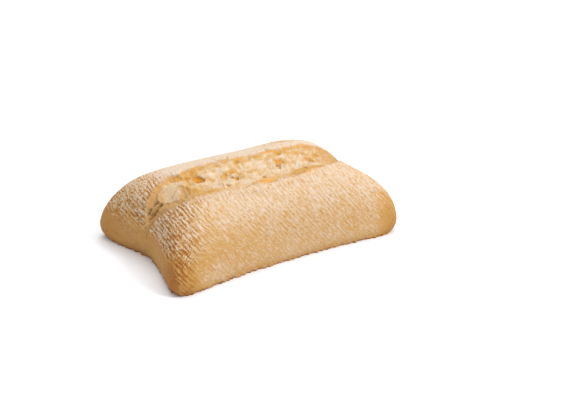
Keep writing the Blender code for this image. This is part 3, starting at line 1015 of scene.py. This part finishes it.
def ciabatta():
    """The roll as one closed mesh, with its looks in attributes that the material reads."""
    noise.seed_set(NOISE_SEED)
    roll = gridded_box()
    box = follow_split(np.array([vertex.co for vertex in roll.verts]))
    points, low_corner = body_form(box)
    place = split_place(box, points)
    for vertex, point in zip(roll.verts, points):
        vertex.co = point
    roll.normal_update()

    # What is known at each point
    at = SimpleNamespace(points=points, sideways=points[:, 1] - split_course(box)[1])
    at.across, at.beyond, _, at.gorge, at.open_share = place
    at.outward = np.array([vertex.normal for vertex in roll.verts])
    at.pores = pore_depth(points, at.sideways) * smooth_share(-at.beyond, *PORE_EDGE)
    at.veil = veil_share(points, at.sideways)
    at.flakes = flake_height(points, at.sideways, FLAKES)
    at.edges = flake_height(points, at.sideways, TORN_EDGES)
    at.torn = torn_share(at)
    at.end = smooth_share(np.abs(at.outward[:, 0]), *END_FACING) * (1 - smooth_share(points[:, 2], *END_TOP))
    at.foot = 1 - smooth_share(points[:, 2], *FOOT_TOP)
    at.corner = np.clip(low_corner, 0, 1) * smooth_share(np.abs(points[:, 0]), *CORNER_START)
    at.patches = unevenness(points, PATCH_SPACING, octaves=2)

    # The split, the lips and the large features of the crumb
    flap, at.flap_rim, at.flap_shade = flap_height(points, at.sideways)
    crags = CRUMB_CRAGS * crag_height(points, at.gorge) * (1 - at.veil)
    standing = (at.flakes + at.edges - at.pores) * (np.abs(at.across) < FAR_OFF / 2)
    move_out(roll, relief(points, place, crags + flap) + standing)

    # The wrinkles and the fine features of crust and crumb
    strength = wrinkle_strength(points, at.end)
    streak = wrinkle_places(points)
    ridges = wrinkle_ridges(streak, tangled_share(points, at.sideways)) * strength
    inside = at.torn > 0
    streak[inside] = drawn_places(points, at.sideways, STRAND_STRETCH)[inside]
    crumb = torn_crumb(at, streak)
    move_out(roll, WRINKLE_HEIGHT * ridges * (1 - at.torn) + crust_details(at) + crumb.out)
    draw_in_foot(roll, points, at.sideways)

    flaked = patchiness(points, *FLAKE_PATCHES)
    browned = FLAKE_BROWNING * np.clip(at.flakes / FLAKE_BROWN_HEIGHT, 0, 1) * flaked
    golden = np.clip(at.flakes / FLAKE_GOLDEN_HEIGHT, 0, 1) * flaked
    looks = {
        "torn": at.torn,
        "ridge": ridges,
        "crinkle": strength,
        "flour": flour_cover(at),
        "bake": baked_brown(at, strength),
        "rim": np.maximum(bell(points[:, 2], BROWN_FOOT_HEIGHT), browned),
        "lip": np.maximum(lip_colour(at), golden),
        # The crumb's toast, with painted shade in the creases between its facets
        "toast_and_shade": toasted_and_shaded(at, crumb),
        # The pores' colour, partly painted shade in their depths
        "hollow": at.pores / HOLLOW_DEPTH * (1 - smooth_share(at.gorge, *DEEP_GORGE)),
        # Painted shade in the crumb's cells, which darkens them golden
        "pit_shade": np.clip(crumb.cells / CELL_FULL_SHADE_DEPTH, 0, 1),
        "skin": crumb.skin * at.torn,
        "gorge": gorge_shade(at, crumb),
        "veil": at.veil * at.torn,
    }
    mesh = finished(roll)
    for name, values in looks.items():
        store(mesh, name, "FLOAT", values)
    store(mesh, "streak", "FLOAT_VECTOR", streak)
    return in_scene("ciabatta_roll", mesh)


def add_node(tree, kind, inputs=(), output=0, **settings):
    """Adds a node with its settings, and gives its output. Each input gets a link from a socket, or a value."""
    node = tree.nodes.new(kind)
    for name, value in settings.items():
        setattr(node, name, value)
    for socket, value in dict(inputs).items():
        if isinstance(value, bpy.types.NodeSocket):
            tree.links.new(value, node.inputs[socket])
        else:
            node.inputs[socket].default_value = value
    return node.outputs[output]


def new_material(name, roughness):
    """A material with this roughness, and its shader."""
    material = bpy.data.materials.new(name)
    material.use_nodes = True
    shader = material.node_tree.nodes["Principled BSDF"]
    shader.inputs["Roughness"].default_value = roughness
    return material, shader


def layered_colour(tree, first, layers, sums):
    """The first colour with each layer's colour over it, as far as the layer's value reaches."""
    result = linear_colour(first)
    for value, low, high, over in layers:
        inputs = {"Value": sums[value], "From Min": low, "From Max": high}
        share = add_node(tree, "ShaderNodeMapRange", inputs, interpolation_type="SMOOTHSTEP")
        inputs = {0: share, 6: result, 7: linear_colour(over)}
        result = add_node(tree, "ShaderNodeMix", inputs, output=2, data_type="RGBA")
    return result


def baked_bread():
    """Wheat crust dusted with flour and baked on stone, and the crumb where it burst open.

    The crust is dry and matt: golden where it is bare, brown in its wrinkles and on its corners, and flour lies
    pale on its ridges. The crumb tore as it set, so it is cream coloured with golden skins and fine strands.
    """
    material, shader = new_material("floured_wheat_bread", BREAD_ROUGHNESS)
    shader.inputs["IOR"].default_value = BREAD_IOR
    tree = material.node_tree

    names = (
        "torn", "ridge", "crinkle", "flour", "bake", "rim", "lip", "toast_and_shade", "hollow", "pit_shade", "skin", "gorge", "veil"
    )
    sums = {name: add_node(tree, "ShaderNodeAttribute", output="Fac", attribute_name=name) for name in names}
    places = {
        "streak": add_node(tree, "ShaderNodeAttribute", output="Vector", attribute_name="streak"),
        "object": add_node(tree, "ShaderNodeTexCoord", output="Object"),
    }
    for name, (place, spacing, detail) in PATTERNS.items():
        inputs = {"Vector": places[place], "Scale": 1 / spacing, "Detail": detail, "Roughness": PATTERN_ROUGHNESS}
        pattern = add_node(tree, "ShaderNodeTexNoise", inputs, output="Fac")
        sums[name] = add_node(tree, "ShaderNodeMath", {0: pattern, 1: PATTERN_MIDDLE}, operation="SUBTRACT")
    inputs = {0: sums["crinkle"], 1: WRINKLED_STREAKS, 2: PLAIN_STREAKS}
    gain = add_node(tree, "ShaderNodeMath", inputs, operation="MULTIPLY_ADD")
    sums["lines"] = add_node(tree, "ShaderNodeMath", {0: sums["streaks"], 1: gain}, operation="MULTIPLY")
    for name, (total, parts) in SUMS.items():
        for part, weight in parts.items():
            inputs = {0: sums[part], 1: weight, 2: total}
            total = add_node(tree, "ShaderNodeMath", inputs, operation="MULTIPLY_ADD")
        sums[name] = total

    crust = layered_colour(tree, CRUST_COLOUR, CRUST_LAYERS, sums)
    # The crumb's colour holds painted shade in its gorges, pores, cells and creases, and under the torn sheet
    crumb = layered_colour(tree, CRUMB_COLOUR, CRUMB_LAYERS, sums)
    both = add_node(tree, "ShaderNodeMix", {0: sums["torn"], 6: crust, 7: crumb}, output=2, data_type="RGBA")
    tree.links.new(both, shader.inputs["Base Color"])
    inputs = {"Strength": BUMP_STRENGTH, "Distance": BUMP_DISTANCE, "Height": sums["height"]}
    tree.links.new(add_node(tree, "ShaderNodeBump", inputs), shader.inputs["Normal"])
    return material


def floor():
    """A round sheet of uncoated white paper, even and matt, that runs out of sight."""
    mesh = bpy.data.meshes.new("floor")
    sheet = bmesh.new()
    bmesh.ops.create_circle(sheet, cap_ends=True, segments=FLOOR_SEGMENTS, radius=FLOOR_RADIUS)
    sheet.to_mesh(mesh)
    sheet.free()
    material, shader = new_material("matt_white_paper", FLOOR_ROUGHNESS)
    shader.inputs["Base Color"].default_value = linear_colour(FLOOR_COLOUR)
    mesh.materials.append(material)
    return in_scene("floor", mesh)


def away(azimuth, elevation):
    """The direction from the roll towards a camera or light. Azimuth 0 is on the near side and 90 on the right."""
    a, e = math.radians(azimuth), math.radians(elevation)
    return Vector((math.sin(a) * math.cos(e), -math.cos(a) * math.cos(e), math.sin(e)))


def soft_light(name, azimuth, elevation, distance, size, power):
    """A square softbox that looks at the roll."""
    data = bpy.data.lights.new(name, "AREA")
    data.size = size
    data.energy = power
    place = distance * away(azimuth, elevation)
    turn = (AIM - place).to_track_quat("-Z", "Y").to_matrix().to_4x4()
    in_scene(name, data).matrix_world = Matrix.Translation(place) @ turn


def camera():
    """The camera at the photograph's angle, with the roll at its place in the frame."""
    data = bpy.data.cameras.new("camera")
    data.sensor_width = SENSOR_WIDTH
    data.lens = FOCAL_PIXELS * SENSOR_WIDTH / IMAGE_WIDTH
    data.clip_start = NEAREST_SEEN
    back = away(CAMERA_AZIMUTH, CAMERA_ELEVATION)
    turn = math.radians(CAMERA_AZIMUTH)
    right = Vector((math.cos(turn), math.sin(turn), 0))
    up = back.cross(right)
    pixel = CAMERA_DISTANCE / FOCAL_PIXELS
    aside = right * (AIM_PIXEL[0] - IMAGE_WIDTH / 2) * pixel
    raised = up * (AIM_PIXEL[1] - IMAGE_HEIGHT / 2) * pixel
    place = AIM + back * CAMERA_DISTANCE - aside + raised
    axes = Matrix((right, up, back)).transposed().to_4x4()
    piece = in_scene("camera", data)
    piece.matrix_world = Matrix.Translation(place) @ axes
    bpy.context.scene.camera = piece


def surroundings():
    """An even white room round the roll."""
    world = bpy.data.worlds.new("studio")
    world.use_nodes = True
    background = world.node_tree.nodes["Background"]
    background.inputs["Color"].default_value = linear_colour(SKY_COLOUR)
    background.inputs["Strength"].default_value = SKY_STRENGTH
    bpy.context.scene.world = world
    bpy.context.scene.view_settings.view_transform = "Standard"


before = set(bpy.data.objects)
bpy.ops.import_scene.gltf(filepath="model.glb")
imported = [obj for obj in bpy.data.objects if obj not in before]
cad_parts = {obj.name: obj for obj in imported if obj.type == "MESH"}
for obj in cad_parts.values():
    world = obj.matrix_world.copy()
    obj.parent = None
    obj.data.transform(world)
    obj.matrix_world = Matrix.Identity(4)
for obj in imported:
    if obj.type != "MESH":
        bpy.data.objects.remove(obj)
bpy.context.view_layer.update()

roll = ciabatta()
roll.data.materials.append(baked_bread())
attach(roll, "root")
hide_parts("ciabatta")

floor()
camera()
surroundings()
for light in LIGHTS:
    soft_light(*light)
